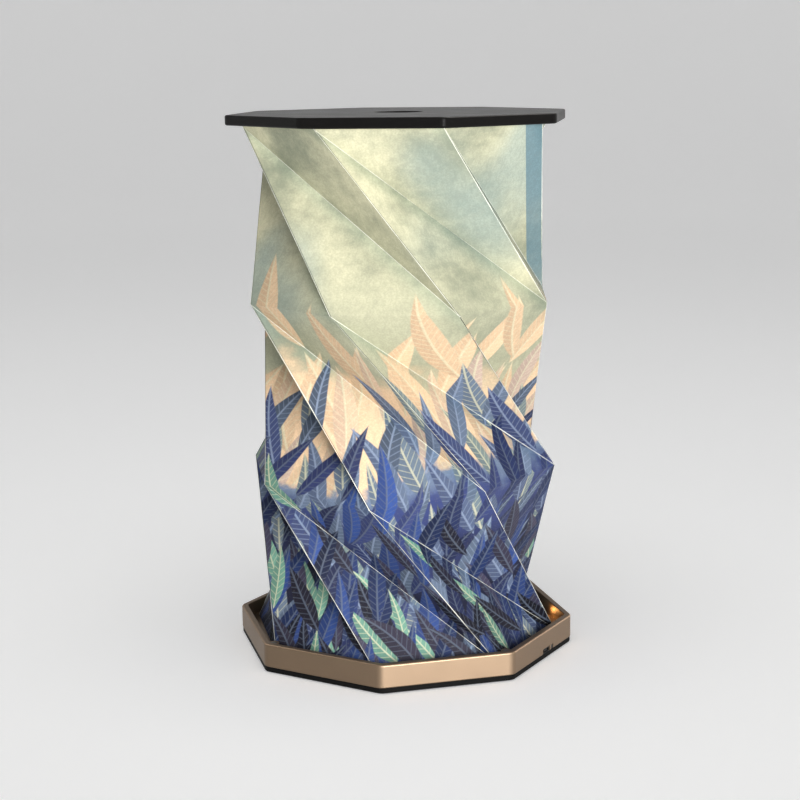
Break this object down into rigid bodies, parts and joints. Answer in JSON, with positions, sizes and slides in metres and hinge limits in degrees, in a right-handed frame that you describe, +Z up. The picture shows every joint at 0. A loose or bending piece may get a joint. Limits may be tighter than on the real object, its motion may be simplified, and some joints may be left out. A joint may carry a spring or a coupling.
{
  "type": "folding bedside lamp",
  "caption": "Rechargeable bedside lamp: an octagonal metal tray, a twist-fold paper shade in storeys and a flat lid that turns as it closes onto the tray.",
  "frame": {"origin": "on the table, under the middle of the base", "axes": "+Z up along the lamp's axis; +X out of the flat with the charging port; flats of the tray face X and Y"},
  "size_m": [0.179, 0.179, 0.2808],
  "materials": {
    "anodised_aluminium": "satin anodised, champagne",
    "black_plastic": "fine matte",
    "rubber": "matte",
    "screw_steel": "satin",
    "magnet_nickel": "bright nickel",
    "board_white": "white solder mask on an aluminium core",
    "led_phosphor": "warm phosphor",
    "frosted_acrylic": "frosted, lit from below",
    "board_green": "solder mask",
    "chip_black": "moulded",
    "port_steel": "bright",
    "button_black": "matte",
    "battery_foil": "laminated foil pouch",
    "lead_insulation": "smooth",
    "frame_plastic": "matte",
    "lid_black": "satin, finely textured",
    "reflector_white": "matte white",
    "printed_paper": "matte, laminated"
  },
  "bodies": {
    "base": {"base_tray": "anodised_aluminium", "base_plate": "black_plastic", "rubber_feet": "rubber", "base_screws": "screw_steel", "base_magnets": "magnet_nickel", "led_board": "board_white", "leds": "led_phosphor", "light_diffuser": "frosted_acrylic", "control_board": "board_green", "board_chips": "chip_black", "charging_port": "port_steel", "tact_switch": "chip_black", "battery_cell": "battery_foil", "battery_leads": "lead_insulation", "led_leads": "lead_insulation", "shade_base_frame": "frame_plastic"},
    "power_button": {"power_button": "button_black"},
    "lower_turn": {"lower_rising_panels": "printed_paper"},
    "lower_ring": {"lower_hanging_panels": "printed_paper"},
    "middle_turn": {"middle_rising_panels": "printed_paper"},
    "middle_ring": {"middle_hanging_panels": "printed_paper"},
    "upper_turn": {"upper_rising_panels": "printed_paper"},
    "lid": {"lid_cover": "lid_black", "lid_reflector": "reflector_white", "lid_screws": "screw_steel", "lid_magnets": "magnet_nickel", "shade_top_frame": "frame_plastic", "upper_hanging_panels": "printed_paper"}
  },
  "joints": [
    {"name": "power_press", "type": "slide", "parent": "base", "child": "power_button", "axis": [-1, 0, 0], "range_m": [0, 0.0004], "stiffness_N_per_m": 2000},
    {"name": "lower_twist", "type": "hinge", "parent": "base", "child": "lower_turn", "pos_m": [0, 0, 0.0082], "axis": [0, 0, -1], "range_deg": [0, 37.1], "deforming": ["lower_rising_panels"]},
    {"name": "lower_fold", "type": "slide", "parent": "lower_turn", "child": "lower_ring", "axis": [0, 0, -1], "range_m": [0, 0.08675], "deforming": ["lower_hanging_panels"]},
    {"name": "middle_twist", "type": "hinge", "parent": "lower_ring", "child": "middle_turn", "pos_m": [0, 0, 0.09719], "axis": [0, 0, -1], "range_deg": [0, 37.1], "deforming": ["middle_rising_panels"]},
    {"name": "middle_fold", "type": "slide", "parent": "middle_turn", "child": "middle_ring", "axis": [0, 0, -1], "range_m": [0, 0.08675], "deforming": ["middle_hanging_panels"]},
    {"name": "upper_twist", "type": "hinge", "parent": "middle_ring", "child": "upper_turn", "pos_m": [0, 0, 0.18618], "axis": [0, 0, -1], "range_deg": [0, 37.1], "deforming": ["upper_rising_panels"]},
    {"name": "upper_fold", "type": "slide", "parent": "upper_turn", "child": "lid", "axis": [0, 0, -1], "range_m": [0, 0.08675], "deforming": ["upper_hanging_panels"]}
  ],
  "couplings": [
    {"joint": "lower_twist", "follows": "lower_fold", "rad_per_m": 7.464},
    {"joint": "middle_fold", "follows": "lower_fold", "ratio": 1},
    {"joint": "middle_twist", "follows": "lower_fold", "rad_per_m": 7.464},
    {"joint": "upper_fold", "follows": "lower_fold", "ratio": 1},
    {"joint": "upper_twist", "follows": "lower_fold", "rad_per_m": 7.464}
  ]
}
